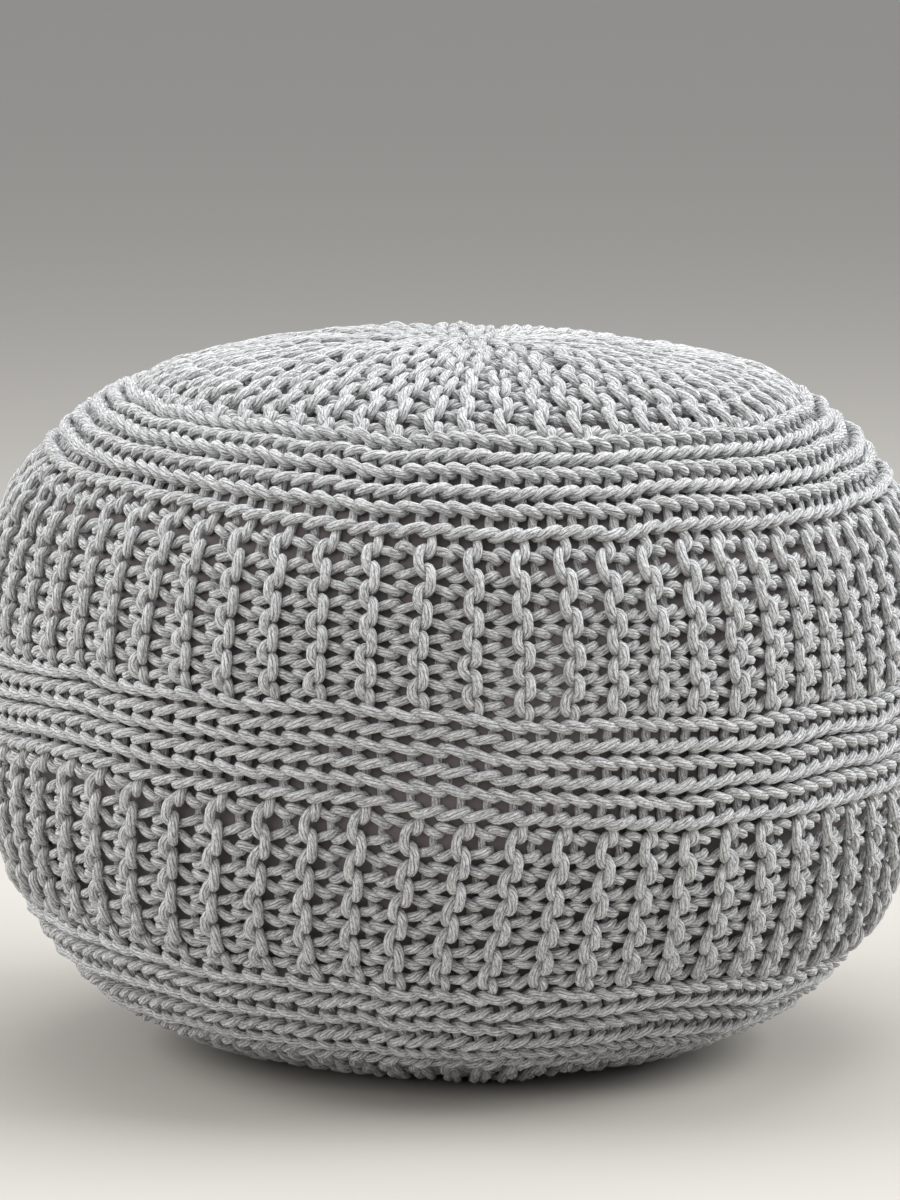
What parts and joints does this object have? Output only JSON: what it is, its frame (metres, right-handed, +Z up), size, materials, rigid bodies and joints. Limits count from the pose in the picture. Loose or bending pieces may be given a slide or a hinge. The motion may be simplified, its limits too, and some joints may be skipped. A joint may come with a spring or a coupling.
{
  "type": "knitted pouf",
  "caption": "Squat round floor pouf: a filled bag in a chunky rope-knit cover of ridged and plain bands, gathered at crown and base, used as a footstool or low seat.",
  "frame": {"origin": "centre of the base, on the surface that the pouf stands on", "axes": "+Z up through the gathered crown; -Y towards the front; the cover is the same all round"},
  "size_m": [0.5, 0.5, 0.37],
  "materials": {
    "cotton_yarn": "soft matt cotton rope of several loosely twisted plies, light grey melange, slightly fuzzy",
    "liner_cloth": "smooth matt woven bag cloth, dark warm grey, seen only between the stitches"
  },
  "bodies": {
    "root": {"knitted_cover": "cotton_yarn", "filled_liner": "liner_cloth"}
  },
  "joints": []
}
